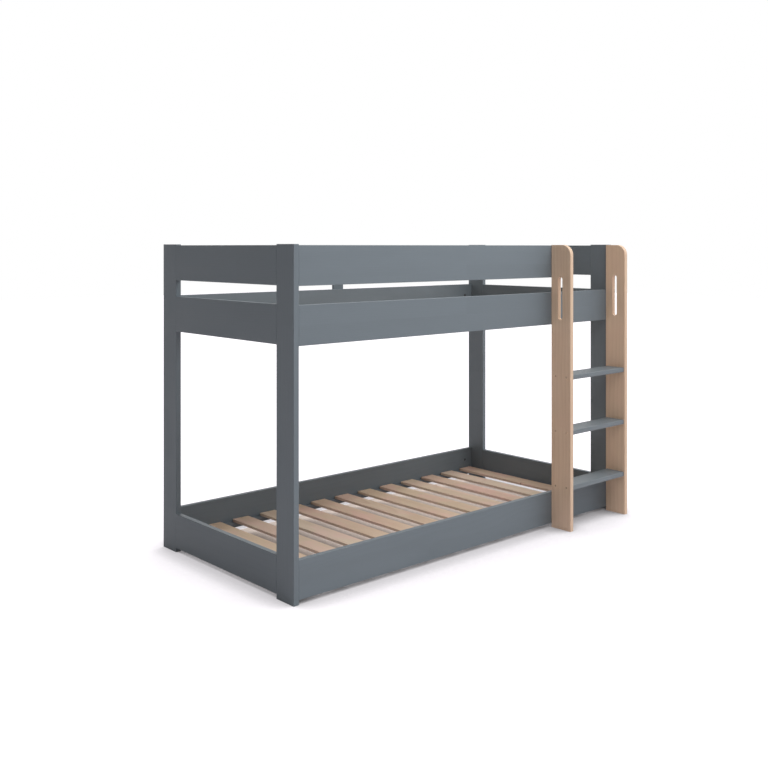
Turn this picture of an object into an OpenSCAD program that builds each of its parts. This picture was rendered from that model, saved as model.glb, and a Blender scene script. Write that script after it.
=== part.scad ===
// Low bunk bed: two single beds, one above the other, with a short ladder at the right end.
// X runs along the bed, Y from the ladder side to the back, Z up from the floor. Millimetres.

/* [Overall size] */
// Length over the end boards
bed_length = 1972; // [1800:1:2150]
// Depth over the front and back rails, without the ladder
bed_depth = 950; // [850:5:1100]
// Height of the posts
post_height = 1320; // [1260:5:1450]

/* [Posts] */
// Width of a post board, across the bed
post_width = 108; // [90:1:140]
// Thickness of a post board
post_thick = 24; // [20:1:28]
// Radius of a post's edges
post_edge = 1.5; // [1:0.5:4]

/* [Rails] */
// Thickness of every rail
rail_thick = 22; // [20:1:26]
// Radius of a rail's long edges
rail_edge = 1.5; // [1:0.5:3]
// Drop from a post's top to the guard rails' top
rail_drop = 4; // [1:1:10]
// Height of the guard rails
guard_height = 150; // [130:5:165]
// Gap between a guard rail and the upper bunk rail below it
guard_gap = 70; // [60:1:75]
// Height of the upper bunk rails
bunk_rail_height = 150; // [130:5:165]
// Height of the lower bunk rails
base_rail_height = 146; // [130:2:164]
// Gap between the floor and the lower bunk rails
floor_gap = 18; // [10:1:30]

/* [Slats and ledgers] */
// Number of slats in each bunk
slat_count = 13; // [9:1:13]
// Width of a slat
slat_width = 86; // [60:1:100]
// Thickness of a slat
slat_thick = 12; // [12:1:18]
// Radius of a slat's long edges
slat_edge = 2.5; // [1:0.5:4]
// Gap between a slat's end and the rail beside it
slat_end_gap = 3; // [1:0.5:5]
// Gap between the outermost slats and the end rails
slat_row_gap = 18; // [5:1:40]
// Height of the slats' underside above the rail's lower edge
slat_seat = 30; // [28:1:45]
// Width of a ledger
ledger_width = 20; // [18:1:30]
// Height of a ledger
ledger_height = 20; // [18:1:26]
// Gap between a ledger's end and the end rail
ledger_end_gap = 10; // [2:1:18]

/* [Ladder] */
// Width of an upright, front to back
upright_width = 110; // [96:1:130]
// Thickness of an upright
upright_thick = 22; // [20:1:28]
// Drop from a post's top to the uprights' tops
upright_drop = 2; // [1:1:10]
// Radius of an upright's front top corner
corner_radius = 48; // [20:1:60]
// Radius of an upright's edges
upright_edge = 2; // [1:0.5:5]
// Clear width between the uprights
ladder_clear = 410; // [350:5:450]
// Number of rungs
rung_count = 3; // [2:1:3]
// Distance from a rung's edges to the uprights' front and back edges
rung_inset = 5; // [2:1:12]
// Thickness of a rung
rung_thick = 22; // [20:1:28]
// Radius of a rung's long edges
rung_edge = 4; // [1:0.5:6]
// Height of the lowest rung's tread above the floor
first_tread = 208; // [180:1:240]
// Height from one tread to the next
tread_pitch = 255; // [230:1:260]
// Width of a handle slot
slot_width = 24; // [20:1:34]
// Length of a handle slot
slot_length = 200; // [120:2:240]
// Distance from an upright's top to its handle slot
slot_drop = 148; // [100:2:180]
// Distance from an upright's back edge to the middle of its handle slot
slot_setback = 51; // [46:1:60]
// Radius of a handle slot's edges
slot_edge = 1.5; // [1:0.5:3]

/* [Back batten] */
// Width of the batten
batten_width = 64; // [50:1:100]
// Thickness of the batten
batten_thick = 12; // [10:1:18]
// Distance the batten stops short of the rails' far edges
batten_inset = 20; // [5:1:40]

/* [Cam fittings and dowels] */
// Diameter of a cam lock
cam_diameter = 15; // [12:0.5:16]
// Height of a cam lock
cam_height = 15; // [14.5:0.5:17]
// Distance from a rail's end to its cam lock
cam_setback = 54; // [34:1:60]
// Distance from a rail's upper edge to its cam lock
cam_drop = 62; // [56:1:70]
// Diameter of a cam bolt
bolt_diameter = 6; // [5:0.5:7]
// Depth of a cam bolt in the post
bolt_bite = 11; // [9:0.5:13]
// Diameter of a dowel
dowel_diameter = 8; // [6:1:10]
// Length of a dowel
dowel_length = 35; // [30:1:40]
// Depth of a dowel in the post
dowel_bite = 12; // [10:0.5:14]
// Distance from a rail's upper and lower edges to its dowels
dowel_inset = 25; // [15:1:30]
// Play around a fitting in its hole, at the radius
fitting_play = 0.1; // [0.05:0.05:0.2]
// Room past the end of a blind hole
hole_room = 0.5; // [0.2:0.1:1]

/* [Screws] */
// Diameter of a rung screw
rung_screw_diameter = 5; // [4:0.5:6]
// Length of a rung screw
rung_screw_length = 70; // [60:5:90]
// Distance between the two screws at a rung's end
rung_screw_spacing = 62; // [40:1:70]
// Diameter of a ladder screw
ladder_screw_diameter = 7; // [5:0.5:8]
// Length of a ladder screw
ladder_screw_length = 50; // [44:1:56]
// Distance between the two ladder screws in a rail
ladder_screw_spacing = 60; // [50:1:66]
// Diameter of the screws in the slats, ledgers and batten
small_screw_diameter = 4; // [3:0.5:5]
// Length of a slat screw
slat_screw_length = 25; // [20:1:28]
// Length of a ledger screw
ledger_screw_length = 35; // [30:1:38]
// Length of a batten screw
batten_screw_length = 28; // [22:1:32]
// A screw head's diameter as a multiple of the screw's
head_ratio = 1.9; // [1.6:0.1:2.1]

/* [Hidden] */
$fn = 48;
grey_paint = [0.44, 0.47, 0.5];
natural_wood = [0.79, 0.68, 0.56];
zinc = [0.7, 0.71, 0.72];
bronzed_steel = [0.36, 0.29, 0.23];
dowel_wood = [0.86, 0.76, 0.6];
cut_over = 1;

// Numbers of the three rail levels and of the two bunks
guard = 0;
bunk = 1;
base = 2;
levels = [guard, bunk, base];

// Sides of the bed: left and right along X, front and back along Y
left = -1;
right = 1;
front = -1;
back = 1;

// Outer faces of the bed, with the ladder and the batten inside the centred box
total_depth = upright_width + bed_depth + batten_thick;
ladder_y = -total_depth / 2;
front_y = ladder_y + upright_width;
back_y = front_y + bed_depth;
left_x = -bed_length / 2;
right_x = bed_length / 2;

// Inner faces of the posts and of the long rails
inner_left_x = left_x + post_thick;
inner_right_x = right_x - post_thick;
inner_front_y = front_y + rail_thick;
inner_back_y = back_y - rail_thick;

// Lower edge and height of the rails of each level
guard_z = post_height - rail_drop - guard_height;
bunk_rail_z = guard_z - guard_gap - bunk_rail_height;
level_z = [guard_z, bunk_rail_z, floor_gap];
level_height = [guard_height, bunk_rail_height, base_rail_height];

// The ladder: its right upright stands against the front right post's inner face
upright_right_x = inner_right_x - upright_thick;
upright_left_x = upright_right_x - ladder_clear - upright_thick;
upright_height = post_height - upright_drop;
slot_radius = slot_width / 2;
slot_reach = slot_length - slot_width;
slot_top_z = upright_height - slot_drop - slot_radius;
rung_y = ladder_y + rung_inset;
rung_depth = upright_width - 2 * rung_inset;
rung_numbers = [1:rung_count];

// The slats: one row of equal gaps between the end rails
slat_numbers = [1:slat_count];
slat_row = bed_length - 2 * rail_thick - 2 * slat_row_gap;
slat_pitch = (slat_row - slat_width) / (slat_count - 1);
slat_length = bed_depth - 2 * rail_thick - 2 * slat_end_gap;
slat_first_x = left_x + rail_thick + slat_row_gap;

// The ledgers lie under the slats' ends, screwed in every second gap of the slats
ledger_length = bed_length - 2 * rail_thick - 2 * ledger_end_gap;
ledger_screw_gaps = [1:2:slat_count - 1];

// The batten reaches from the upper rail to the guard rail, behind both
batten_z = bunk_rail_z + batten_inset;
batten_height = guard_z + guard_height - batten_inset - batten_z;
batten_screw_y = back_y + batten_thick;

function slat_x(i) = slat_first_x + (i - 1) * slat_pitch;
function slat_z(level) = level_z[level] + slat_seat;
function tread_z(i) = first_tread + (i - 1) * tread_pitch;
function two_digits(i) = str(i < 10 ? "0" : "", i);
function slat_name(bunk_name, i) = str(bunk_name, "_slat_", two_digits(i));
function rung_name(i) = str("ladder_rung_", i);

// A joint is a rail's end against a post: [x, y, turn, mirrored, level, knock_down]. Its own x runs into
// the rail, its own y to the rail's inner face, and its z starts at the rail's lower edge. The long rails
// knock down, with a cam fitting between two dowels. The end frames are glued, with three dowels a joint.
function long_joint(side_x, side_y, level) = [
    side_x == left ? inner_left_x : inner_right_x,
    side_y == front ? front_y + rail_thick / 2 : back_y - rail_thick / 2,
    side_x == left ? 0 : 180,
    side_x == side_y ? 0 : 1,
    level,
    true
];
function end_joint(side_x, side_y, level) = [
    side_x == left ? left_x + rail_thick / 2 : right_x - rail_thick / 2,
    side_y == front ? front_y + post_width : back_y - post_width,
    side_y == front ? 90 : 270,
    side_x == side_y ? 1 : 0,
    level,
    false
];
// The front guard rail ends at the ladder, so it has no joint at the right post
function has_long_joint(side_x, side_y, level) = !(level == guard && side_x == right && side_y == front);
function post_joints(side_x, side_y) = [
    for (level = levels) each [
        if (has_long_joint(side_x, side_y, level)) long_joint(side_x, side_y, level),
        end_joint(side_x, side_y, level)
    ]
];
all_joints = [for (side_x = [left, right], side_y = [front, back]) each post_joints(side_x, side_y)];
cam_joints = [for (j = all_joints) if (j[5]) j];

// ---- Shapes used by many parts

// Rectangle with rounded corners
module eased_rect(w, h, r) {
    translate([r, 0]) square([w - 2 * r, h]);
    translate([0, r]) square([w, h - 2 * r]);
    for (x = [r, w - r], y = [r, h - r]) translate([x, y]) circle(r);
}

// Board whose long edges are rounded, along X, Y or Z, with its lowest corner at the origin
module board_x(l, d, h, r) translate([l, 0, 0]) rotate([0, -90, 0]) linear_extrude(l) eased_rect(h, d, r);
module board_y(w, l, h, r) translate([0, l, 0]) rotate([90, 0, 0]) linear_extrude(l) eased_rect(w, h, r);
module board_z(w, d, l, r) linear_extrude(l) eased_rect(w, d, r);

// Cylinder along +X from the origin
module rod_x(length, diameter) rotate([0, 90, 0]) cylinder(h = length, d = diameter);

// Countersunk screw along -Z, with its head's top at the origin. A hole is the same shape with play.
module screw(length, diameter, play = 0, over = 0) {
    head = diameter * head_ratio;
    head_height = (head - diameter) / 2;
    translate([0, 0, -length - (over > 0 ? hole_room : 0)])
        cylinder(h = length - head_height / 2 + (over > 0 ? hole_room : 0), d = diameter + 2 * play);
    translate([0, 0, -head_height]) cylinder(h = head_height, d1 = diameter + 2 * play, d2 = head + 2 * play);
    if (over > 0) cylinder(h = over, d = head + 2 * play);
}
module screw_hole(length, diameter) screw(length, diameter, fitting_play, cut_over);

// ---- Cam fitting and dowels at a rail's end

module at_joint(j) {
    translate([j[0], j[1], level_z[j[4]]]) rotate([0, 0, j[2]]) mirror([0, j[3], 0]) children();
}
function cam_z(level) = level_height[level] - cam_drop;
function dowel_heights(rail_height, knock_down) =
    concat([dowel_inset, rail_height - dowel_inset], knock_down ? [] : [rail_height / 2]);

// Body of a cam lock, with its face flush with the rail's inner face
module cam_body(level, play, over) {
    translate([cam_setback, rail_thick / 2 + over, cam_z(level)])
        rotate([90, 0, 0])
            cylinder(h = cam_height + over + (over > 0 ? hole_room : 0), d = cam_diameter + 2 * play);
}

// Path of the cam bolt through the joint, from the post to the middle of the cam
module bolt_path(level, play) {
    bite = bolt_bite + (play > 0 ? hole_room : 0);
    translate([-bite, 0, cam_z(level)]) rod_x(bite + cam_setback, bolt_diameter + 2 * play);
}

// Everything that is drilled at a joint, in the rail and in the post
module joint_holes(j) {
    if (j[5]) {
        cam_body(j[4], fitting_play, cut_over);
        bolt_path(j[4], fitting_play);
    }
    for (z = dowel_heights(level_height[j[4]], j[5]))
        translate([-dowel_bite - hole_room, 0, z])
            rod_x(dowel_length + 2 * hole_room, dowel_diameter + 2 * fitting_play);
}

module cut_joints(joints) {
    difference() {
        children();
        for (j = joints) at_joint(j) joint_holes(j);
    }
}

// ---- Posts

module post(side_x, side_y) {
    x = side_x == left ? left_x : right_x - post_thick;
    y = side_y == front ? front_y : back_y - post_width;
    color(grey_paint)
        cut_joints(post_joints(side_x, side_y))
            translate([x, y, 0]) post_board();
}
// Board on end, rounded along its upright edges and round its top
module post_board() {
    intersection() {
        board_z(post_thick, post_width, post_height, post_edge);
        translate([0, 0, -post_height]) board_x(post_thick, post_width, 2 * post_height, post_edge);
        translate([0, 0, -post_height]) board_y(post_thick, post_width, 2 * post_height, post_edge);
    }
}

// ---- Rails

// End rail, between the two posts of one end and flush with their outer faces
module end_rail(side_x, level) {
    x = side_x == left ? left_x : right_x - rail_thick;
    color(grey_paint)
        cut_joints([end_joint(side_x, front, level), end_joint(side_x, back, level)])
            translate([x, front_y + post_width, level_z[level]])
                board_y(rail_thick, bed_depth - 2 * post_width, level_height[level], rail_edge);
}

// Front or back rail over the full length between the posts
module long_rail(side_y, level) {
    y = side_y == front ? front_y : inner_back_y;
    color(grey_paint)
        cut_joints([long_joint(left, side_y, level), long_joint(right, side_y, level)])
            translate([inner_left_x, y, level_z[level]])
                board_x(inner_right_x - inner_left_x, rail_thick, level_height[level], rail_edge);
}

// Front guard rail, from the left post to the far face of the ladder's left upright
module short_guard() {
    color(grey_paint)
        cut_joints([long_joint(left, front, guard)])
            translate([inner_left_x, front_y, guard_z])
                board_x(upright_left_x + upright_thick - inner_left_x, rail_thick, guard_height, rail_edge);
}

// ---- Ladder screws, from the rails' inner faces into the uprights' back edges

function ladder_screw_levels(x) = x == upright_left_x ? levels : [bunk, base];
module at_ladder_screws(x, screw_levels) {
    for (level = screw_levels, side = [-1, 1])
        translate([
            x + upright_thick / 2,
            inner_front_y,
            level_z[level] + level_height[level] / 2 + side * ladder_screw_spacing / 2
        ]) rotate([-90, 0, 0]) children();
}
module cut_ladder_screws(screw_levels) {
    difference() {
        children();
        for (x = [upright_left_x, upright_right_x]) {
            wanted = [for (level = screw_levels) if (len(search(level, ladder_screw_levels(x))) > 0) level];
            at_ladder_screws(x, wanted) screw_hole(ladder_screw_length, ladder_screw_diameter);
        }
    }
}
module ladder_screws() {
    color(bronzed_steel)
        for (x = [upright_left_x, upright_right_x])
            at_ladder_screws(x, ladder_screw_levels(x)) screw(ladder_screw_length, ladder_screw_diameter);
}

// ---- Ladder

// Board of an upright, rounded along every edge above the floor and over its front top corner
module upright_board() {
    intersection() {
        board_z(upright_thick, upright_width, upright_height, upright_edge);
        translate([0, -upright_width, -upright_height])
            board_x(upright_thick, 2 * upright_width, 2 * upright_height, upright_edge);
        union() {
            cube([upright_thick, corner_radius, upright_height - corner_radius]);
            translate([0, corner_radius, -upright_height])
                board_y(upright_thick, upright_width - corner_radius, 2 * upright_height, upright_edge);
            translate([0, corner_radius, upright_height - corner_radius]) along_x() eased_disc();
        }
    }
}
// Turns a shape drawn in x and y so that it stands in Y and Z, and its height runs along X
module along_x() rotate([90, 0, 90]) children();
// Disc with a rounded rim, whose quarter makes the front top corner
module eased_disc() {
    rotate_extrude($fn = 96)
        intersection() {
            translate([-corner_radius, 0]) eased_rect(2 * corner_radius, upright_thick, upright_edge);
            square([corner_radius, upright_thick]);
        }
}

// Handle slot with round ends and rounded rims, from the middle of its upper end
module handle_slot() {
    translate([0, 0, -cut_over]) linear_extrude(upright_thick + 2 * cut_over) slot_outline();
    slot_rim();
    translate([0, 0, upright_thick]) mirror([0, 0, 1]) slot_rim();
}
module slot_outline() {
    translate([-slot_radius, -slot_reach]) square([slot_width, slot_reach]);
    for (y = [0, -slot_reach]) translate([0, y]) circle(slot_radius);
}
module slot_rim() {
    for (y = [0, -slot_reach]) translate([0, y, 0]) rotate_extrude() rim_profile();
    rotate([90, 0, 0])
        linear_extrude(slot_reach) {
            rim_profile();
            mirror([1, 0]) rim_profile();
        }
}
// Half of the rim's cut, from the slot's middle to the rounded edge
module rim_profile() {
    rim = slot_radius + slot_edge;
    difference() {
        translate([0, -cut_over]) square([rim, slot_edge + cut_over]);
        translate([rim, slot_edge]) circle(slot_edge);
    }
}

module upright(x) {
    color(natural_wood)
        difference() {
            translate([x, ladder_y, 0]) upright_board();
            translate([x, front_y - slot_setback, slot_top_z]) along_x() handle_slot();
            at_ladder_screws(x, ladder_screw_levels(x))
                screw_hole(ladder_screw_length, ladder_screw_diameter);
            for (i = rung_numbers) at_rung_screws(i) screw_hole(rung_screw_length, rung_screw_diameter);
        }
}
module rung(i) {
    color(grey_paint)
        difference() {
            translate([upright_left_x + upright_thick, rung_y, tread_z(i) - rung_thick])
                board_x(ladder_clear, rung_depth, rung_thick, rung_edge);
            at_rung_screws(i) screw_hole(rung_screw_length, rung_screw_diameter);
        }
}

// The four screws of a rung, each with its head in an upright's outer face
module at_rung_screws(i) {
    for (side_x = [left, right], side = [-1, 1])
        translate([
            side_x == left ? upright_left_x : upright_right_x + upright_thick,
            rung_y + rung_depth / 2 + side * rung_screw_spacing / 2,
            tread_z(i) - rung_thick / 2
        ]) rotate([0, side_x * 90, 0]) children();
}
module rung_screws() {
    color(bronzed_steel)
        for (i = rung_numbers) at_rung_screws(i) screw(rung_screw_length, rung_screw_diameter);
}

// ---- Slats and ledgers

module slat(level, i) {
    color(natural_wood)
        difference() {
            translate([slat_x(i), inner_front_y + slat_end_gap, slat_z(level)])
                board_y(slat_width, slat_length, slat_thick, slat_edge);
            at_slat_screws(level, i) screw_hole(slat_screw_length, small_screw_diameter);
        }
}
// The two screws of a slat, over the middle of the front and back ledgers
module at_slat_screws(level, i) {
    for (y = [inner_front_y + ledger_width / 2, inner_back_y - ledger_width / 2])
        translate([slat_x(i) + slat_width / 2, y, slat_z(level) + slat_thick]) children();
}
module slat_screws() {
    color(bronzed_steel)
        for (level = [bunk, base], i = slat_numbers)
            at_slat_screws(level, i) screw(slat_screw_length, small_screw_diameter);
}

module ledger(level, side_y) {
    y = side_y == front ? inner_front_y : inner_back_y - ledger_width;
    color(grey_paint)
        difference() {
            translate([left_x + rail_thick + ledger_end_gap, y, slat_z(level) - ledger_height])
                cube([ledger_length, ledger_width, ledger_height]);
            for (i = slat_numbers)
                at_slat_screws(level, i) screw_hole(slat_screw_length, small_screw_diameter);
            at_ledger_screws(level, side_y) screw_hole(ledger_screw_length, small_screw_diameter);
        }
}
// The screws of a ledger, each in the middle of a gap between slats
module at_ledger_screws(level, side_y) {
    for (i = ledger_screw_gaps)
        translate([
            slat_x(i) + (slat_pitch + slat_width) / 2,
            side_y == front ? inner_front_y + ledger_width : inner_back_y - ledger_width,
            slat_z(level) - ledger_height / 2
        ]) rotate([side_y == front ? -90 : 90, 0, 0]) children();
}
module cut_ledger_screws(level, side_y) {
    difference() {
        children();
        at_ledger_screws(level, side_y) screw_hole(ledger_screw_length, small_screw_diameter);
    }
}
module ledger_screws() {
    color(bronzed_steel)
        for (level = [bunk, base], side_y = [front, back])
            at_ledger_screws(level, side_y) screw(ledger_screw_length, small_screw_diameter);
}

// ---- Back batten

module back_batten() {
    color(grey_paint)
        cut_batten_screws()
            translate([-batten_width / 2, back_y, batten_z])
                board_z(batten_width, batten_thick, batten_height, rail_edge);
}
// Two screws in the guard rail and two in the upper rail, driven from behind
module at_batten_screws() {
    for (level = [guard, bunk], side = [-1, 1])
        translate([side * batten_width / 4, batten_screw_y, level_z[level] + level_height[level] / 2])
            rotate([-90, 0, 0]) children();
}
module cut_batten_screws() {
    difference() {
        children();
        at_batten_screws() screw_hole(batten_screw_length, small_screw_diameter);
    }
}
module batten_screws() {
    color(bronzed_steel) at_batten_screws() screw(batten_screw_length, small_screw_diameter);
}

// ---- Cam locks, cam bolts and dowels

// Cam lock with a hollow for the bolt's head and a slot for the screwdriver
module cam_lock(level) {
    slot = [cam_diameter * 0.6, 1.5, 1.5];
    difference() {
        cam_body(level, 0, 0);
        bolt_path(level, fitting_play);
        translate([cam_setback - slot[0] / 2, rail_thick / 2 - slot[1], cam_z(level) - slot[2] / 2])
            cube([slot[0], slot[1] + cut_over, slot[2]]);
    }
}
module cam_locks() {
    color(zinc)
        for (j = cam_joints) at_joint(j) cam_lock(j[4]);
}
module cam_bolts() {
    color(zinc)
        for (j = cam_joints) at_joint(j) bolt_path(j[4], 0);
}
module dowels() {
    color(dowel_wood)
        for (j = all_joints) at_joint(j)
            for (z = dowel_heights(level_height[j[4]], j[5]))
                translate([-dowel_bite, 0, z]) rod_x(dowel_length, dowel_diameter);
}

// ---- The nodes

post(left, front);  // post_front_left
post(left, back);  // post_back_left
post(right, front);  // post_front_right
post(right, back);  // post_back_right
end_rail(left, guard);  // left_guard_rail
end_rail(left, bunk);  // left_upper_rail
end_rail(left, base);  // left_lower_rail
end_rail(right, guard);  // right_guard_rail
end_rail(right, bunk);  // right_upper_rail
end_rail(right, base);  // right_lower_rail
cut_ladder_screws([guard]) short_guard();  // front_guard_rail
cut_ladder_screws([bunk]) cut_ledger_screws(bunk, front) long_rail(front, bunk);  // front_upper_rail
cut_ladder_screws([base]) cut_ledger_screws(base, front) long_rail(front, base);  // front_lower_rail
cut_batten_screws() long_rail(back, guard);  // back_guard_rail
cut_batten_screws() cut_ledger_screws(bunk, back) long_rail(back, bunk);  // back_upper_rail
cut_ledger_screws(base, back) long_rail(back, base);  // back_lower_rail
back_batten();
ledger(bunk, front);  // upper_front_ledger
ledger(bunk, back);  // upper_back_ledger
ledger(base, front);  // lower_front_ledger
ledger(base, back);  // lower_back_ledger
for (i = slat_numbers) slat(bunk, i);
for (i = slat_numbers) slat(base, i);
upright(upright_left_x);  // ladder_upright_left
upright(upright_right_x);  // ladder_upright_right
for (i = rung_numbers) rung(i);
cam_locks();
cam_bolts();
dowels();
rung_screws();
ladder_screws();
slat_screws();
ledger_screws();
batten_screws();
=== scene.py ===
"""A low bunk bed dressed for its picture: satin paint, pine, bronzed screws and soft light.

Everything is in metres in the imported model's frame, with X along the bed, Y to the back and Z up.
The fasteners' shapes are drawn in millimetres, and turned to metres when they are set in place.
"""
import math

import bpy
import numpy as np
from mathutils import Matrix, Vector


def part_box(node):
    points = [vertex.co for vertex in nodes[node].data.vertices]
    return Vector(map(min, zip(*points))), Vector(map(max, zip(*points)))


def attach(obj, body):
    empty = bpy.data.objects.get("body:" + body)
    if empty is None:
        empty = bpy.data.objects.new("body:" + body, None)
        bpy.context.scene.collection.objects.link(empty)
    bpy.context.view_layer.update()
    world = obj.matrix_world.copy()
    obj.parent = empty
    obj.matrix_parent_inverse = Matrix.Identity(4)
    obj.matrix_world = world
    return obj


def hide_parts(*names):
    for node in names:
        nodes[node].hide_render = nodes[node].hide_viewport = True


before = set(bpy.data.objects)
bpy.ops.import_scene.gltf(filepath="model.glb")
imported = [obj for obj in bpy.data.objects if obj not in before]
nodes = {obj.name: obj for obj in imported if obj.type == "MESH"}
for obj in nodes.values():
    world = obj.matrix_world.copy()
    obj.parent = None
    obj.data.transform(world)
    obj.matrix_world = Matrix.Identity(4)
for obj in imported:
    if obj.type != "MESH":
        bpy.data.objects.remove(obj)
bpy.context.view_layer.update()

# ---- Node trees


class Tree:
    """A node tree filled by short calls, whose inputs are plain values or other nodes' outputs."""

    def __init__(self, tree):
        self.tree = tree

    def add(self, kind, inputs=None, **settings):
        node = self.tree.nodes.new("ShaderNode" + kind)
        for name, value in settings.items():
            setattr(node, name, value)
        for key, value in (inputs or {}).items():
            if isinstance(value, bpy.types.NodeSocket):
                self.tree.links.new(value, node.inputs[key])
            else:
                node.inputs[key].default_value = value
        return node

    def math(self, operation, a, b=0.0):
        return self.add("Math", {0: a, 1: b}, operation=operation).outputs[0]

    def vector(self, operation, a, b=(0.0, 0.0, 0.0)):
        return self.add("VectorMath", {0: a, 1: b}, operation=operation).outputs[0]

    def noise(self, vector, scale, detail=2.0, roughness=0.5):
        sockets = {"Vector": vector, "Scale": scale, "Detail": detail, "Roughness": roughness}
        return self.add("TexNoise", sockets).outputs["Fac"]

    def ramp(self, value, low, high, to_low=0.0, to_high=1.0):
        """A smooth step from to_low at low to to_high at high."""
        sockets = {
            "Value": value, "From Min": low, "From Max": high, "To Min": to_low, "To Max": to_high
        }
        return self.add("MapRange", sockets, interpolation_type="SMOOTHSTEP").outputs["Result"]

    def mix(self, factor, a, b):
        return self.add("Mix", {0: factor, 6: a, 7: b}, data_type="RGBA").outputs[2]

    def object_place(self):
        """A point's place in the piece's own coordinates."""
        return self.add("TexCoord").outputs["Object"]


def new_group(name, inputs, outputs):
    """An empty node group with named sockets, and its Tree, its input node and its output node."""
    group = bpy.data.node_groups.new(name, "ShaderNodeTree")
    for side, sockets in (("INPUT", inputs), ("OUTPUT", outputs)):
        for socket, kind in sockets.items():
            group.interface.new_socket(socket, in_out=side, socket_type="NodeSocket" + kind)
    given, made = group.nodes.new("NodeGroupInput"), group.nodes.new("NodeGroupOutput")
    return group, Tree(group), given, made


# ---- Wood

# Each pattern's scale per metre: across a board's width, through its thickness, and along it
WANDER_PITCH = (5.0, 5.0, 1.1)
CLOUD_PITCH = (14.0, 14.0, 2.6)
FIBRE_PITCH = (420.0, 420.0, 9.0)
BLUSH_PITCH = (11.0, 11.0, 6.0)
# How far boards lie apart in the pattern: along the log, round its heart, and in the rosy patches
LOG_SPREAD = (0.0, 0.0, 9.0)
HEART_SPREAD = (0.09, 0.03, 0.0)
BLUSH_SPREAD = (9.0, 9.0, 9.0)
HEART_START = (-0.045, 0.055, 0.0)
# How far the rings bend in metres, and how unevenly they are spaced, from ring to ring
RING_BEND = 0.055
UNEVEN_PITCH = 0.37
UNEVEN_SHARE = 1.6
# The knots' cells to the metre and where they start, and in metres the knots' radii, how far
# away the rings feel a knot, and how far they bulge round it
KNOT_PITCH = 4.2
KNOT_START = 7.0
KNOT_RADII = (0.0035, 0.0085)
KNOT_PULL = 0.045
KNOT_BULGE = 0.016


def make_board_figure():
    """The figure of a sawn softwood board: the vector's Z runs along it, X across it, Y through it.

    Growth rings are shells round the log's heart: ring number = distance from the heart / ring
    width, with a slow wander along the board and a bulge round each knot. Late wood darkens
    towards each ring's edge. Knots are the cells of a Voronoi field across the face, a part of
    which are kept. Fibre and cloud are noises stretched along the board.
    """
    group, t, given, made = new_group(
        "board figure",
        {"Vector": "Vector", "Seed": "Vector", "Ring width": "Float", "Knot share": "Float"},
        {"Rings": "Float", "Fibre": "Float", "Knots": "Float", "Cloud": "Float"},
    )
    point, seed = given.outputs["Vector"], given.outputs["Seed"]
    place = t.vector("ADD", point, t.vector("MULTIPLY", seed, LOG_SPREAD))
    wander = t.noise(t.vector("MULTIPLY", place, WANDER_PITCH), 1.0)
    cloud = t.noise(t.vector("MULTIPLY", place, CLOUD_PITCH), 1.0, 3.0)

    # Knots, seen across the face
    face = t.add("SeparateXYZ", {0: place}).outputs
    shifted = t.math("ADD", face[0], KNOT_START)
    spot = t.add("CombineXYZ", {0: shifted, 1: face[2], 2: 0.0}).outputs[0]
    cells = t.add("TexVoronoi", {"Vector": spot, "Scale": KNOT_PITCH}, voronoi_dimensions="2D")
    chance = t.add("SeparateColor", {0: cells.outputs["Color"]}).outputs
    kept = t.math("LESS_THAN", chance[0], given.outputs["Knot share"])
    away = t.math("DIVIDE", cells.outputs["Distance"], KNOT_PITCH)
    radius = t.ramp(chance[1], 0.0, 1.0, *KNOT_RADII)
    knot = t.math("MULTIPLY", kept, t.ramp(t.math("DIVIDE", away, radius), 1.25, 0.75))
    pull = t.math("MULTIPLY", kept, t.ramp(away, KNOT_PULL, 0.0))

    # Rings round the heart, which lies behind the board's face
    heart = t.vector("ADD", t.vector("MULTIPLY", seed, HEART_SPREAD), HEART_START)
    across = t.vector("MULTIPLY", t.vector("SUBTRACT", point, heart), (1.0, 1.0, 0.0))
    distance = t.add("VectorMath", {0: across}, operation="LENGTH").outputs["Value"]
    bend = t.math("MULTIPLY", t.math("SUBTRACT", wander, 0.5), RING_BEND)
    bulge = t.math("MULTIPLY", pull, KNOT_BULGE)
    shell = t.math("ADD", t.math("ADD", distance, bend), bulge)
    count = t.math("DIVIDE", shell, given.outputs["Ring width"])
    uneven = t.noise(t.add("CombineXYZ", {0: count}).outputs[0], UNEVEN_PITCH, 1.0)
    phase = t.math("FRACT", t.math("ADD", count, t.math("MULTIPLY", uneven, UNEVEN_SHARE)))
    late = t.math("MULTIPLY", t.ramp(phase, 0.25, 0.86), t.ramp(phase, 1.0, 0.93))
    fibre = t.noise(t.vector("MULTIPLY", place, FIBRE_PITCH), 1.0, 3.0, 0.6)

    for name, value in (("Rings", late), ("Fibre", fibre), ("Knots", knot), ("Cloud", cloud)):
        t.tree.links.new(value, made.inputs[name])
    return group


BOARD_FIGURE = make_board_figure()

# Turns that bring a board's length onto the figure's Z, and its width onto X
ALONG_X = (0.0, math.radians(-90), 0.0)
ALONG_Y = (math.radians(90), 0.0, 0.0)
ALONG_Z = (0.0, 0.0, 0.0)
UPRIGHT_FACE = (0.0, 0.0, math.radians(90))

DULL_SHINE = 0.3
KNOT_COVER = 0.75


def new_material(name):
    material = bpy.data.materials.new(name)
    material.use_nodes = True
    material.node_tree.nodes.clear()
    return material, Tree(material.node_tree)


def close_material(t, shader):
    t.add("OutputMaterial", {"Surface": shader})


def turned(t, turn):
    """The piece's own coordinates, turned so that the figure's Z runs along the board."""
    place = t.object_place()
    return t.add("Mapping", {"Vector": place, "Rotation": turn}).outputs["Vector"]


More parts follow.
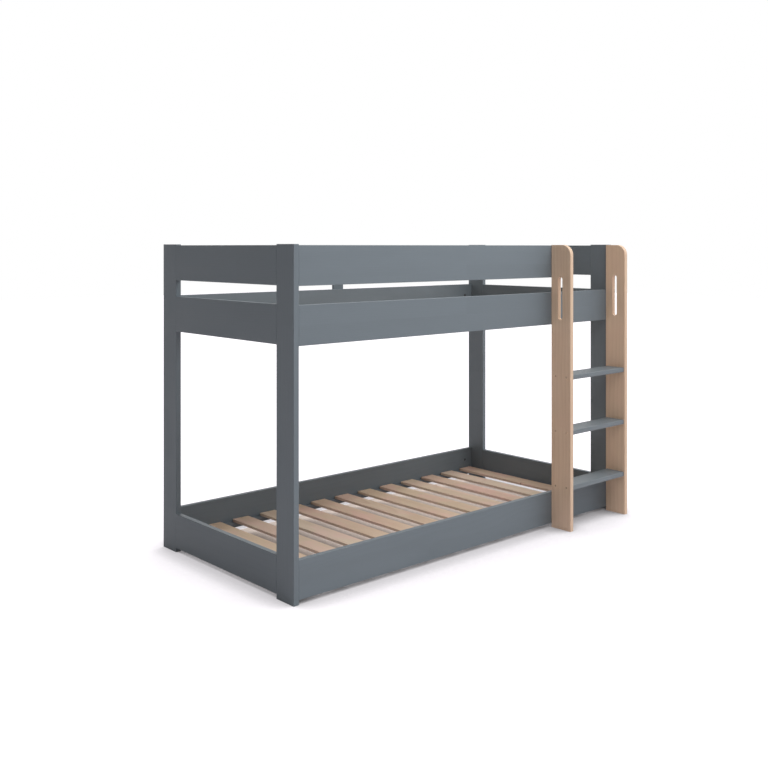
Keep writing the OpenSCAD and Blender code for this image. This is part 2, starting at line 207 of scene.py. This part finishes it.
def board_lot(t, step, start):
    """Three random numbers for each board, from its cell in a lattice of a given step and start."""
    place = t.object_place()
    inverse = tuple(1.0 / s for s in step)
    cell = t.vector("FLOOR", t.vector("MULTIPLY", t.vector("SUBTRACT", place, start), inverse))
    return t.add("TexWhiteNoise", {"Vector": cell}, noise_dimensions="3D").outputs["Color"]


def board_figure(t, turn, lot, ring_width, knot_share):
    """The outputs of the board figure, laid along a board that is turned this way."""
    sockets = {
        "Vector": turned(t, turn), "Seed": lot, "Ring width": ring_width, "Knot share": knot_share
    }
    return t.add("Group", sockets, node_tree=BOARD_FIGURE).outputs


def board_shader(t, colour, roughness, height, strength, distance):
    """The shader of a board, with its relief in the normal."""
    relief = {"Height": height, "Strength": strength, "Distance": distance}
    sockets = {
        "Base Color": colour,
        "Roughness": roughness,
        "Normal": t.add("Bump", relief).outputs[0],
        "Specular IOR Level": DULL_SHINE,
    }
    return t.add("BsdfPrincipled", sockets).outputs[0]


def wood(name, turn, tones, lots, ring_width, knot_share=0.0, matt=0.48, depth=0.75, blush=0.5):
    """Bare or lacquered softwood.

    Pale early wood and darker late wood, with fine fibres, rosy patches and perhaps a few knots,
    and a hue, a strength of colour and a brightness of its own for each board. The roughness lies
    about matt, depth is how dark the rings are, and blush how full the rosy patches are.
    """
    light, dark, rosy, knot_colour = tones
    material, t = new_material(name)
    lot = board_lot(t, *lots)
    figure = board_figure(t, turn, lot, ring_width, knot_share)
    rings = t.math("MULTIPLY", figure["Rings"], t.ramp(figure["Cloud"], 0.25, 0.75, 0.45, 1.0))
    colour = t.mix(t.math("MULTIPLY", rings, depth), light, dark)
    colour = t.mix(t.ramp(figure["Fibre"], 0.3, 0.75, 0.0, 0.3), colour, dark)
    colour = t.mix(t.ramp(figure["Cloud"], 0.35, 0.8, 0.0, 0.22), colour, dark)
    stretched = t.vector("MULTIPLY", turned(t, turn), BLUSH_PITCH)
    spread = t.vector("ADD", stretched, t.vector("MULTIPLY", lot, BLUSH_SPREAD))
    colour = t.mix(t.ramp(t.noise(spread, 1.0), 0.42, 0.66, 0.0, blush), colour, rosy)
    tone = t.add("SeparateColor", {0: lot}).outputs
    shade = t.add(
        "HueSaturation",
        {
            "Hue": t.ramp(tone[1], 0.0, 1.0, 0.493, 0.507),
            "Saturation": t.ramp(tone[2], 0.0, 1.0, 0.93, 1.08),
            "Value": t.ramp(tone[0], 0.0, 1.0, 0.96, 1.04),
            "Color": colour,
        },
    ).outputs[0]
    colour = t.mix(t.math("MULTIPLY", figure["Knots"], KNOT_COVER), shade, knot_colour)
    raised = t.math("MULTIPLY", figure["Fibre"], 0.6)
    height = t.math("ADD", raised, t.math("MULTIPLY", figure["Rings"], -0.4))
    roughness = t.ramp(figure["Fibre"], 0.2, 0.8, matt - 0.06, matt + 0.1)
    shader = board_shader(t, colour, roughness, height, strength=0.2, distance=0.0005)
    close_material(t, shader)
    return material


# The step and the start of the lattice that gives each painted board a lot of its own
PAINT_LOTS = ((0.9, 0.4, 0.21), (-0.97, -0.45, -0.03))
PAINT_RINGS = 0.0065


def paint(name, turn, colour, streak=0.025, relief=0.12):
    """Satin paint on softwood: an even coat in which the brush and the grain below still show."""
    material, t = new_material(name)
    lot = board_lot(t, *PAINT_LOTS)
    figure = board_figure(t, turn, lot, PAINT_RINGS, knot_share=0.0)
    grain = t.math("ADD", t.math("MULTIPLY", figure["Rings"], 0.25), figure["Fibre"])
    change = t.ramp(grain, 0.15, 1.0, 1.0 + streak, 1.0 - streak)
    patch = t.ramp(figure["Cloud"], 0.3, 0.7, 0.98, 1.02)
    tone = t.ramp(t.add("SeparateColor", {0: lot}).outputs[0], 0.0, 1.0, 0.985, 1.015)
    value = t.math("MULTIPLY", t.math("MULTIPLY", change, patch), tone)
    coat = t.add("HueSaturation", {"Value": value, "Color": colour}).outputs[0]
    raised = t.math("MULTIPLY", figure["Fibre"], 0.5)
    height = t.math("SUBTRACT", raised, t.math("MULTIPLY", figure["Rings"], 0.3))
    roughness = t.ramp(figure["Cloud"], 0.25, 0.75, 0.44, 0.54)
    shader = board_shader(t, coat, roughness, height, strength=relief, distance=0.0004)
    close_material(t, shader)
    return material


PLATING_PITCH = 260.0


def metal(name, colour, roughness):
    """Plated steel, with faint blotches in the plating's brightness and gloss."""
    material, t = new_material(name)
    blotch = t.noise(t.object_place(), PLATING_PITCH, 3.0)
    value = t.ramp(blotch, 0.3, 0.7, 0.85, 1.1)
    tone = t.add("HueSaturation", {"Value": value, "Color": colour}).outputs[0]
    rough = t.ramp(blotch, 0.3, 0.7, roughness - 0.06, roughness + 0.1)
    sockets = {"Base Color": tone, "Roughness": rough, "Metallic": 1.0}
    close_material(t, t.add("BsdfPrincipled", sockets).outputs[0])
    return material


GREY = (0.167, 0.1985, 0.2225, 1.0)
RUNG_GREY = (0.185, 0.212, 0.232, 1.0)
ZINC = (0.40, 0.40, 0.41, 1.0)
# Zinc darkened far past real plating, which paints the shade inside the cam locks' sunk holes
ZINC_DARKENED_FOR_SHADE = (0.12, 0.12, 0.125, 1.0)
BRONZE = (0.46, 0.34, 0.25, 1.0)
KNOT = (0.20, 0.105, 0.06, 1.0)
# Each wood's early wood, late wood, rosy patches and knots
LADDER_TONES = (
    (0.79, 0.587, 0.447, 1.0), (0.635, 0.435, 0.309, 1.0), (0.755, 0.53, 0.408, 1.0), KNOT
)
SLAT_TONES = (
    (0.727, 0.578, 0.446, 1.0), (0.557, 0.394, 0.276, 1.0), (0.728, 0.505, 0.42, 1.0), KNOT
)
BEECH_TONES = (
    (0.72, 0.55, 0.38, 1.0), (0.60, 0.42, 0.27, 1.0), (0.66, 0.48, 0.34, 1.0), KNOT
)
SLAT_RINGS = 0.0052
LADDER_RINGS = 0.014

paint_along_x = paint("grey_paint_along_x", ALONG_X, GREY)
paint_along_y = paint("grey_paint_along_y", ALONG_Y, GREY)
paint_along_z = paint("grey_paint_along_z", ALONG_Z, GREY)
rung_paint = paint("grey_paint_on_rungs", ALONG_X, RUNG_GREY, streak=0.1, relief=0.35)

# One cell a slat, which starts a fifth of a step before the slat's left edge, and one an upright
slat_a, slat_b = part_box("lower_slat_01")[0].x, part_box("lower_slat_02")[0].x
slat_step = slat_b - slat_a
slat_lots = ((slat_step, 2.0, 0.5), (slat_a - slat_step * 0.2, -1.0, 0.0))
upright_lots = ((0.3, 2.0, 4.0), (-1.65, -1.0, -1.0))
slat_wood = wood(
    "slat_pine", ALONG_Y, SLAT_TONES, slat_lots, SLAT_RINGS, knot_share=0.15, matt=0.6, blush=0.8
)
ladder_wood = wood(
    "ladder_pine", UPRIGHT_FACE, LADDER_TONES, upright_lots, LADDER_RINGS, depth=0.4
)
dowel_wood = wood("beech", ALONG_X, BEECH_TONES, slat_lots, SLAT_RINGS)
zinc = metal("zinc_plate", ZINC, 0.42)
zinc_darkened_for_shade = metal("zinc_darkened_for_shade", ZINC_DARKENED_FOR_SHADE, 0.6)
bronze = metal("bronzed_steel", BRONZE, 0.55)

# Each finish, and how the names of the nodes that wear it start
FINISHES = (
    (paint_along_x, ("front_guard", "front_upper_r", "front_lower_r")),
    (paint_along_x, ("back_guard", "back_upper", "back_lower")),
    (paint_along_x, ("upper_front_ledger", "upper_back_ledger")),
    (paint_along_x, ("lower_front_ledger", "lower_back_ledger")),
    (paint_along_y, ("left_", "right_")),
    (paint_along_z, ("post_", "back_batten")),
    (rung_paint, ("ladder_rung",)),
    (slat_wood, ("upper_slat", "lower_slat")),
    (ladder_wood, ("ladder_upright",)),
    (dowel_wood, ("dowels",)),
    (zinc, ("cam_",)),
    (bronze, ("rung_screws", "ladder_screws", "slat_screws", "ledger_screws", "batten_screws")),
)


def finish_nodes():
    """Gives every CAD node the material of the first entry that its name starts with."""
    for name, thing in nodes.items():
        found = [material for material, starts in FINISHES if name.startswith(starts)]
        thing.data.materials.clear()
        thing.data.materials.append(found[0])


finish_nodes()

# ---- Screws, cam fittings and dowels

MILLIMETRE = 0.001


def angles(count):
    """Angles of a turned shape's points, evenly round from 0, in radians."""
    return 2 * np.pi * np.arange(count) / count


def level(values, angle):
    """Rows of a turned shape that each keep one value all the way round."""
    return np.asarray(values)[:, None] + 0 * angle


def turned_shape(radius, height):
    """A closed shape turned on the Z axis, as points and faces.

    Point (i, j) lies at radius[i, j] from the axis, at the angle 2 pi j / n and at height[i, j].
    The rows run from the head down, and the first and the last row each close on a pole.
    """
    radius, height = np.broadcast_arrays(radius, height)
    rows, turns = radius.shape
    angle = angles(turns)
    rings = np.stack([radius * np.cos(angle), radius * np.sin(angle), height], axis=-1)
    poles = np.array([[0.0, 0.0, height[0].mean()], [0.0, 0.0, height[-1].mean()]])
    points = np.concatenate([rings.reshape(-1, 3), poles])
    i, j = np.meshgrid(np.arange(rows - 1), np.arange(turns), indexing="ij")
    here, below, after = i * turns, (i + 1) * turns, (j + 1) % turns
    quads = np.stack([here + j, below + j, below + after, here + after], axis=-1)
    step = np.arange(turns)
    following = (step + 1) % turns
    last = (rows - 1) * turns
    top_pole, bottom_pole = np.full(turns, rows * turns), np.full(turns, rows * turns + 1)
    top = np.stack([step, following, top_pole], axis=-1)
    bottom = np.stack([last + following, last + step, bottom_pole], axis=-1)
    return points, [quads.reshape(-1, 4), top, bottom]


def cross_recess(radius, angle, reach, arm, depth):
    """Drop below a flat face of a cross recess: full within an arm, sloping at its walls.

    With a and b the lesser and the greater of |x| and |y|, the drop is the depth times two
    steps, one down at a = arm / 2 and one down at b = reach, each eased over a fifth of the arm.
    """
    x, y = np.abs(radius * np.cos(angle)), np.abs(radius * np.sin(angle))
    lesser, greater = np.minimum(x, y), np.maximum(x, y)
    ease = arm / 5
    beside = np.clip((arm / 2 + ease - lesser) / ease, 0, 1)
    along = np.clip((reach + ease - greater) / ease, 0, 1)
    return -depth * (beside * along)


def wood_screw(length, diameter, pitch, turns):
    """A countersunk wood screw along -Z, in mm, with its head's top at the origin.

    The face is a disc less a cross recess. Below it come a 45 degree cone and a thread that
    fades in, whose radius is the core's plus a tooth of the phase height / pitch + angle / 2 pi,
    and a tapered point. The part above the thread is as thick as the thread's crest.
    """
    head, core, crest = 0.95 * diameter, 0.34 * diameter, 0.49 * diameter
    angle = angles(turns)
    face = np.linspace(0.12, 0.93, 9)[:, None] * head
    face_drop = cross_recess(face, angle, 0.62 * head, 0.3 * head, 0.28 * head) - 0.2
    face = np.broadcast_to(face, face_drop.shape)
    cone_radius = level([0.99 * head, head, 0.97 * crest], angle)
    cone_drop = level([-0.22, -0.4, -0.4 - (head - crest)], angle)
    shank_end = -0.36 * length
    thread_drop = level(np.arange(shank_end, -length + 1.2 * diameter, -pitch / 4), angle)
    phase = (thread_drop / pitch + angle / (2 * np.pi)) % 1.0
    tooth = np.clip(1 - np.abs(phase - 0.5) * 3.2, 0, 1)
    fade = np.clip((shank_end - thread_drop) / pitch, 0, 1)
    thread_radius = core + (crest - core) * np.maximum(tooth, 1 - fade)
    point_radius = level([0.8 * core, 0.1 * core], angle)
    point_drop = level([-length + 0.8 * diameter, -length], angle)
    radius = np.concatenate([face, cone_radius, thread_radius, point_radius])
    drop = np.concatenate([face_drop, cone_drop, thread_drop, point_drop])
    return turned_shape(radius, drop)


# A cam lock's measures in mm, and half of the opening in its wall in degrees
CAM_RADIUS = 7.4
CAM_SUNK = 1.0
CAM_HOLLOW = 4.6
CAM_WALL_DROPS = (-4.9, -15.0)
CAM_MOUTH = 50


def cam_face(turns=48):
    """The face of a cam lock along -Z, in mm: a chamfered disc, 4 mm thick and 1 mm sunk.

    It has a cross recess in a dish, whose depth is 0.35 mm times 1 - (r / 0.8 R)^2 where that is
    above 0.
    """
    angle = angles(turns)
    face = np.linspace(0.08, 0.9, 12)[:, None] * CAM_RADIUS
    drop = cross_recess(face, angle, reach=5.2, arm=2.4, depth=2.6) - CAM_SUNK
    dish = 0.35 * np.clip(1 - (face / (0.8 * CAM_RADIUS)) ** 2, 0, 1)
    face = np.broadcast_to(face, drop.shape)
    rim = 0.96 * CAM_RADIUS
    side_radius = level([rim, CAM_RADIUS, CAM_RADIUS, rim], angle)
    side_drop = level([0.0, -0.3, -3.7, -4.0], angle) - CAM_SUNK
    radius = np.concatenate([face, side_radius])
    return turned_shape(radius, np.concatenate([drop - dish, side_drop]))


def cam_wall(turns=40):
    """The wall of a cam lock along -Z, in mm: a C-shaped ring that leaves the bolt's side open.

    A closed loop runs along the outer arc, from the mouth's one side to its other, and back along
    the inner arc. It is carried down through the lock, and strips between the arcs cap both ends.
    """
    sweep = np.radians(np.linspace(CAM_MOUTH, 360 - CAM_MOUTH, turns))
    arc = np.stack([np.cos(sweep), np.sin(sweep)], axis=-1)
    loop = np.concatenate([CAM_RADIUS * arc, (CAM_HOLLOW * arc)[::-1]])
    count = len(loop)
    points = np.concatenate([np.column_stack([loop, np.full(count, z)]) for z in CAM_WALL_DROPS])
    step = np.arange(count)
    after = (step + 1) % count
    sides = np.stack([step, count + step, count + after, after], axis=-1)
    rib = np.arange(turns - 1)
    caps = np.stack([rib, rib + 1, count - 2 - rib, count - 1 - rib], axis=-1)
    return points, [sides, caps, caps[:, ::-1] + count]


# A cam bolt's mushroom head, neck, collar and shaft, as radius and drop in mm
BOLT_PROFILE = (
    (1.6, 0.0), (2.6, -0.3), (2.9, -1.2), (2.7, -2.4), (1.8, -3.2),
    (1.8, -7.0), (2.3, -7.6), (2.3, -51.0), (2.9, -51.3), (2.9, -54.0),
)
BOLT_PITCH = 2.0


def cam_bolt(turns=24):
    """A cam bolt along -Z, in mm: its plain profile, and a coarse thread that sits in the post.

    The thread's radius is 2.1 mm plus a tooth of the phase height / pitch + angle / 2 pi.
    """
    angle = angles(turns)
    plain_radius, plain_drop = np.transpose(BOLT_PROFILE)
    thread_drop = level(np.arange(-54.0, -63.8, -BOLT_PITCH / 4), angle)
    phase = (thread_drop / BOLT_PITCH + angle / (2 * np.pi)) % 1.0
    thread_radius = 2.1 + 0.85 * np.clip(1 - np.abs(phase - 0.5) * 3.0, 0, 1)
    radius = [level(plain_radius, angle), thread_radius, level([1.9, 1.2], angle)]
    drop = [level(plain_drop, angle), thread_drop, level([-64.0, -65.0], angle)]
    return turned_shape(np.concatenate(radius), np.concatenate(drop))


FLUTES = 16


def dowel(turns=48):
    """A fluted dowel along -Z, in mm: a round bar with chamfered ends, less its flutes.

    Each flute takes up to 0.18 mm off the radius, as half of 1 - cos(flutes * angle).
    """
    angle = angles(turns)
    body = level([2.6, 3.0, 3.95, 3.95, 3.0, 2.6], angle)
    wave = 0.18 * (0.5 - 0.5 * np.cos(FLUTES * angle))
    flute = wave * np.array([0, 0.4, 1, 1, 0.4, 0])[:, None]
    return turned_shape(body - flute, level([0.0, -0.2, -1.4, -33.6, -34.8, -35.0], angle))


def stood(shape, spots):
    """Copies of a shape in mm, one at each spot: its head's place, outward axis and first axis.

    A copied point = place + MILLIMETRE * (x * first + y * (axis x first) + z * axis).
    """
    points, faces = shape
    place, axis, first = (np.array(column, dtype=float) for column in zip(*spots))
    frames = np.stack([first, np.cross(axis, first), axis], axis=1)
    copies = place[:, None, :] + MILLIMETRE * np.einsum("pk,skc->spc", points, frames)
    shift = (np.arange(len(spots)) * len(points))[:, None, None]
    return copies.reshape(-1, 3), [(f[None] + shift).reshape(-1, f.shape[1]) for f in faces]


SHARP_EDGE = math.radians(35)


def hardware_piece(name, parts, material):
    """One piece from stood shapes, which takes the place of the CAD node of its name with an s."""
    points, faces, start = [], [], 0
    for part_points, part_faces in parts:
        points.append(part_points)
        for block in part_faces:
            faces.extend((block + start).tolist())
        start += len(part_points)
    mesh = bpy.data.meshes.new(name)
    mesh.from_pydata(np.concatenate(points).tolist(), [], faces)
    mesh.polygons.foreach_set("use_smooth", np.ones(len(mesh.polygons), dtype=bool))
    mesh.set_sharp_from_angle(angle=SHARP_EDGE)
    mesh.materials.append(material)
    mesh.update()
    piece = bpy.data.objects.new(name, mesh)
    bpy.context.scene.collection.objects.link(piece)
    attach(piece, "root")
    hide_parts(name + "s")


def middle(name, side):
    """The middle of a node's box along one axis."""
    low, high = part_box(name)
    return (low[side] + high[side]) / 2


LEVEL_NAMES = ("guard", "upper", "lower")
AXIS_X, AXIS_Y, AXIS_Z = np.eye(3)
RUNG_SCREW_OFFSET = 0.031
LADDER_SCREW_OFFSET = 0.030
CAM_SETBACK = 0.054
CAM_DROP = 0.062
DOWEL_REACH = 0.023
DOWEL_INSET = 0.025
screw_turns = np.random.default_rng(11)


def spot(place, axis):
    """A place for a shape: its head's middle, its outward axis, and a random turn's first axis."""
    side = np.roll(np.abs(axis), 1)
    turn = screw_turns.uniform(0, math.pi / 2)
    return place, axis, math.cos(turn) * side + math.sin(turn) * np.cross(axis, side)


def rung_screw_spots():
    left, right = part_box("ladder_upright_left")[0].x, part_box("ladder_upright_right")[1].x
    rungs = sorted(name for name in nodes if name.startswith("ladder_rung"))
    rows = [
        (middle(rung, 1) + side * RUNG_SCREW_OFFSET, middle(rung, 2))
        for rung in rungs
        for side in (-1, 1)
    ]
    outsides = ((left, -AXIS_X), (right, AXIS_X))
    return [spot((x, y, z), axis) for y, z in rows for x, axis in outsides]


def ladder_screw_spots():
    left, right = middle("ladder_upright_left", 0), middle("ladder_upright_right", 0)
    rails = ((left, "guard"), (left, "upper"), (left, "lower"), (right, "upper"), (right, "lower"))
    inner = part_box("front_upper_rail")[1].y
    return [
        spot((x, inner, middle("front_%s_rail" % rail, 2) + side * LADDER_SCREW_OFFSET), AXIS_Y)
        for x, rail in rails
        for side in (-1, 1)
    ]


def slat_names(bunk):
    return sorted(name for name in nodes if name.startswith(bunk + "_slat_"))


def slat_screw_spots():
    return [
        spot((middle(slat, 0), middle("%s_%s_ledger" % (bunk, side), 1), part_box(slat)[1].z), AXIS_Z)
        for bunk in ("upper", "lower")
        for slat in slat_names(bunk)
        for side in ("front", "back")
    ]


def ledger_screw_spots():
    """One screw in the middle of every second gap between slats, from each ledger's inner face."""
    spots = []
    for bunk in ("upper", "lower"):
        slats = slat_names(bunk)
        front, back = bunk + "_front_ledger", bunk + "_back_ledger"
        for before, after in list(zip(slats[:-1], slats[1:]))[::2]:
            x = (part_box(before)[1].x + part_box(after)[0].x) / 2
            spots.append(spot((x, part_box(front)[1].y, middle(front, 2)), AXIS_Y))
            spots.append(spot((x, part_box(back)[0].y, middle(back, 2)), -AXIS_Y))
    return spots


def batten_screw_spots():
    low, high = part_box("back_batten")
    offset = (high.x - low.x) / 4
    return [
        spot((side * offset, high.y, middle("back_%s_rail" % rail, 2)), AXIS_Y)
        for rail in ("guard", "upper")
        for side in (-1, 1)
    ]


def long_rail_ends():
    """The long rails' ends that meet a post: the side, the rail's box, the end's x and way in."""
    ends = []
    for side in ("front", "back"):
        for rail in LEVEL_NAMES:
            low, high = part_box("%s_%s_rail" % (side, rail))
            ends.append((side, low, high, low.x, 1.0))
            if (side, rail) != ("front", "guard"):
                ends.append((side, low, high, high.x, -1.0))
    return ends


def cam_spots():
    """Where the faces, walls and bolts of the cam fittings stand, as three lists of spots."""
    faces, walls, bolts = [], [], []
    for side, low, high, end, inwards in long_rail_ends():
        inner, axis = (high.y, AXIS_Y) if side == "front" else (low.y, -AXIS_Y)
        face = (end + inwards * CAM_SETBACK, inner, high.z - CAM_DROP)
        faces.append(spot(face, axis))
        walls.append((face, axis, -inwards * AXIS_X))
        bolts.append(spot((face[0], (low.y + high.y) / 2, face[2]), inwards * AXIS_X))
    return faces, walls, bolts


def dowel_spots():
    """Two dowels at each long rail's end that meets a post, and three at each end rail's ends."""
    spots = []
    for _, low, high, end, inwards in long_rail_ends():
        for z in (low.z + DOWEL_INSET, high.z - DOWEL_INSET):
            place = (end + inwards * DOWEL_REACH, (low.y + high.y) / 2, z)
            spots.append(spot(place, inwards * AXIS_X))
    for side in ("left", "right"):
        for rail in LEVEL_NAMES:
            low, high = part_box("%s_%s_rail" % (side, rail))
            for end, inwards in ((low.y, 1.0), (high.y, -1.0)):
                for z in (low.z + DOWEL_INSET, (low.z + high.z) / 2, high.z - DOWEL_INSET):
                    place = ((low.x + high.x) / 2, end + inwards * DOWEL_REACH, z)
                    spots.append(spot(place, inwards * AXIS_Y))
    return spots


# Each kind of screw: its shape's length, diameter, pitch and points round it, and its places
SCREWS = (
    ("rung_screw", (70.0, 5.0, 2.6, 32), rung_screw_spots),
    ("ladder_screw", (50.0, 7.0, 3.2, 32), ladder_screw_spots),
    ("slat_screw", (25.0, 4.0, 1.8, 16), slat_screw_spots),
    ("ledger_screw", (35.0, 4.0, 1.8, 16), ledger_screw_spots),
    ("batten_screw", (28.0, 4.0, 1.8, 24), batten_screw_spots),
)
for screw_name, measures, screw_spots in SCREWS:
    screws = stood(wood_screw(*measures), screw_spots())
    hardware_piece(screw_name, [screws], bronze)
cam_faces, cam_walls, cam_bolts = cam_spots()
cam_locks = [stood(cam_face(), cam_faces), stood(cam_wall(), cam_walls)]
# The cam locks wear the darkened zinc, a painted shade for their holes
hardware_piece("cam_lock", cam_locks, zinc_darkened_for_shade)
hardware_piece("cam_bolt", [stood(cam_bolt(), cam_bolts)], zinc)
hardware_piece("dowel", [stood(dowel(), dowel_spots())], dowel_wood)

# ---- Studio

AMBIENT = 0.08
WHITE = (1.0, 1.0, 1.0, 1.0)


def sky(t):
    """White to the camera and to reflections, and a weak even light to everything else."""
    path = t.add("LightPath").outputs
    seen = t.math("MAXIMUM", path["Is Camera Ray"], path["Is Glossy Ray"])
    seen = t.math("MAXIMUM", seen, path["Is Transmission Ray"])
    bright = t.add("Background", {"Color": WHITE, "Strength": 1.0}).outputs[0]
    plain = t.add("Background", {"Color": WHITE, "Strength": AMBIENT}).outputs[0]
    return t.add("MixShader", {0: seen, 1: plain, 2: bright}).outputs[0]


def make_world():
    world = bpy.data.worlds.new("studio")
    world.use_nodes = True
    world.node_tree.nodes.clear()
    t = Tree(world.node_tree)
    t.add("OutputWorld", {"Surface": sky(t)})
    bpy.context.scene.world = world


make_world()

# The floor's glow, which paints the sky's light on it and paints the bed's contact shadow where the
# bed closes the sky over a spot, as (reach, contrast, strength)
FLOOR_GLOW = ((0.1, 4.0, 0.217), (1.5, 1.0, 1.027))
# The glow's tint: lilac in the painted shadows of the open floor, and between the slats the slats'
# own hue, which paints light warmed on its way between them
GLOW_TINT = (1.02, 0.99, 1.025, 1.0)
PAINTED_WARM_LIGHT_TINT = (1.14, 0.975, 0.885, 1.0)
# The colour the lamps light on the floor, and between the slats a warmer one, which paints light
# warmed by the slats
FLOOR_SEEN = (0.122, 0.119, 0.123, 1.0)
FLOOR_UNDER = (0.137, 0.117, 0.106, 1.0)
FLOOR_BOUNCE = (0.824, 0.788, 0.815, 1.0)
# Middle and half size of the floor that is seen between the slats, where the warm light is painted
UNDER_SLATS = ((0.0, 0.11, 0.0), (0.93, 0.40))
# Opposite corners of the whole floor, and of its part under the bed
FLOOR_ENDS = ((-20.0, -20.0), (20.0, 20.0))
UNDER_BED = ((-0.984, -0.424), (0.984, 0.522))


def flat_floor(name, low, high, height, fill):
    """A flat floor over a rectangle of the ground, at a height, whose shader a function makes."""
    mesh = bpy.data.meshes.new(name)
    plan = ((low[0], low[1]), (high[0], low[1]), (high[0], high[1]), (low[0], high[1]))
    mesh.from_pydata([(x, y, height) for x, y in plan], [], [(0, 1, 2, 3)])
    thing = bpy.data.objects.new(name, mesh)
    bpy.context.scene.collection.objects.link(thing)
    material, t = new_material(name)
    close_material(t, fill(t))
    mesh.materials.append(material)
    return thing


def seen_floor(t):
    """A glow that paints the floor white where the sky over it is open and paints the bed's shadow
    where the bed stands close over it, warm between the slats, with the lamps' light added.
    """
    apart = t.vector("ABSOLUTE", t.vector("SUBTRACT", t.object_place(), UNDER_SLATS[0]))
    apart = t.add("SeparateXYZ", {0: apart}).outputs
    beside = t.math("LESS_THAN", apart[0], UNDER_SLATS[1][0])
    under = t.math("MULTIPLY", beside, t.math("LESS_THAN", apart[1], UNDER_SLATS[1][1]))
    strength = 0.0
    # Each term's glow follows how open the sky is over a spot, so it paints the bed's contact shadow
    # on the floor
    for reach, contrast, share in FLOOR_GLOW:
        open_sky = t.add("AmbientOcclusion", {"Distance": reach}, samples=8).outputs["AO"]
        part = t.math("MULTIPLY", t.math("POWER", open_sky, contrast), share)
        strength = t.math("ADD", part, strength)
    # Between the slats the glow and the floor's colour turn warm, a painted warm light; elsewhere the
    # glow is lilac
    tint = t.mix(under, GLOW_TINT, PAINTED_WARM_LIGHT_TINT)
    glow = t.add("Emission", {"Color": tint, "Strength": strength}).outputs[0]
    face = t.add("BsdfDiffuse", {"Color": t.mix(under, FLOOR_SEEN, FLOOR_UNDER)}).outputs[0]
    return t.add("AddShader", {0: glow, 1: face}).outputs[0]


def bounce_floor(t):
    return t.add("BsdfDiffuse", {"Color": FLOOR_BOUNCE}).outputs[0]


# The floor that the camera and reflections see, and its part under the bed, which has its own lamp
open_floor = flat_floor("pale_floor", *FLOOR_ENDS, 0.0, seen_floor)
under_floor = flat_floor("floor_under_the_bed", *UNDER_BED, 0.0003, seen_floor)
for floor in (open_floor, under_floor):
    floor.visible_diffuse = floor.visible_shadow = False
# The floor that nothing sees, which throws the lamps' light back onto the bed
bounce = flat_floor("bounce_floor", *FLOOR_ENDS, -0.001, bounce_floor)
bounce.visible_camera = bounce.visible_glossy = bounce.visible_transmission = False

PLAIN_TINT = (1.0, 1.0, 1.0)
FILL_TINT = (1.0, 0.955, 0.99)
SUN_SPREAD = math.radians(50)
SUN_PLACE = (0.0, 0.0, 4.0)
BOX_SIZE = 1.4
BED_MIDDLE = 0.6
STRIP_AIM = 0.2
RIGHT_ANGLE = math.radians(90)


def hang(name, lamp, place, turn):
    thing = bpy.data.objects.new(name, lamp)
    bpy.context.scene.collection.objects.link(thing)
    thing.location = place
    thing.rotation_euler = turn
    return thing


def soft_sun(name, compass, height, energy):
    """A broad distant light from a compass angle, counted from +X over +Y, and a height."""
    lamp = bpy.data.lights.new(name, "SUN")
    lamp.energy = energy
    lamp.angle = SUN_SPREAD
    hang(name, lamp, SUN_PLACE, (math.radians(90 - height), 0.0, math.radians(compass + 90)))


def soft_box(name, place, power, tint=PLAIN_TINT):
    """A square lamp that looks at the middle of the bed."""
    lamp = bpy.data.lights.new(name, "AREA")
    lamp.shape = "SQUARE"
    lamp.size = BOX_SIZE
    lamp.energy = power
    lamp.color = tint
    x, y, z = place
    fall = math.atan2(math.hypot(x, y), z - BED_MIDDLE)
    hang(name, lamp, place, (fall, 0.0, math.atan2(y, x) + RIGHT_ANGLE))


def soft_strip(name, place, size, power):
    """A wide low lamp behind the bed, which looks to the front at the floor below the slats."""
    lamp = bpy.data.lights.new(name, "AREA")
    lamp.shape = "RECTANGLE"
    lamp.size, lamp.size_y = size
    lamp.energy = power
    fall = math.atan2(place[2], place[1] - STRIP_AIM)
    return hang(name, lamp, place, (RIGHT_ANGLE - fall, 0.0, 2 * RIGHT_ANGLE))


def light_only(lamp, thing):
    """Lets a lamp fall on one thing alone; every other piece still throws its shadow."""
    receivers = bpy.data.collections.new(lamp.name + "_falls_on")
    receivers.objects.link(thing)
    lamp.light_linking.receiver_collection = receivers


soft_sun("high_front", 315, 48, 0.88)
soft_sun("low_front", 330, 18, 0.29)
soft_box("over_front", (0.8, -1.6, 3.2), 34.9)
soft_box("over_left", (-0.9, -2.4, 2.8), 18.7)
soft_box("beside_ladder", (3.5, 0.0, 1.5), 44.2)
soft_box("over_back", (0.0, 3.0, 2.5), 20.9)
soft_box("beside_camera", (-3.0, -3.0, 1.0), 7.0, FILL_TINT)
light_only(soft_strip("under_the_rails", (0.0, 5.0, 0.8), (8.0, 0.7), 4824.0), under_floor)

CAMERA_PLACE = (-3.0838, -3.2485, 1.3105)
CAMERA_TURN = math.radians(-41.979)
CAMERA_LENS = 45.13
FILM_WIDTH = 36.0
HORIZON_SHIFT = -0.179
FAR_CLIP = 100.0


def make_camera():
    """The level camera, whose lens is shifted down, so that upright edges stay upright."""
    lens = bpy.data.cameras.new("camera")
    lens.lens = CAMERA_LENS
    lens.sensor_width = FILM_WIDTH
    lens.shift_y = HORIZON_SHIFT
    lens.clip_end = FAR_CLIP
    bpy.context.scene.camera = hang("camera", lens, CAMERA_PLACE, (RIGHT_ANGLE, 0.0, CAMERA_TURN))


make_camera()
bpy.context.scene.view_settings.view_transform = "Standard"
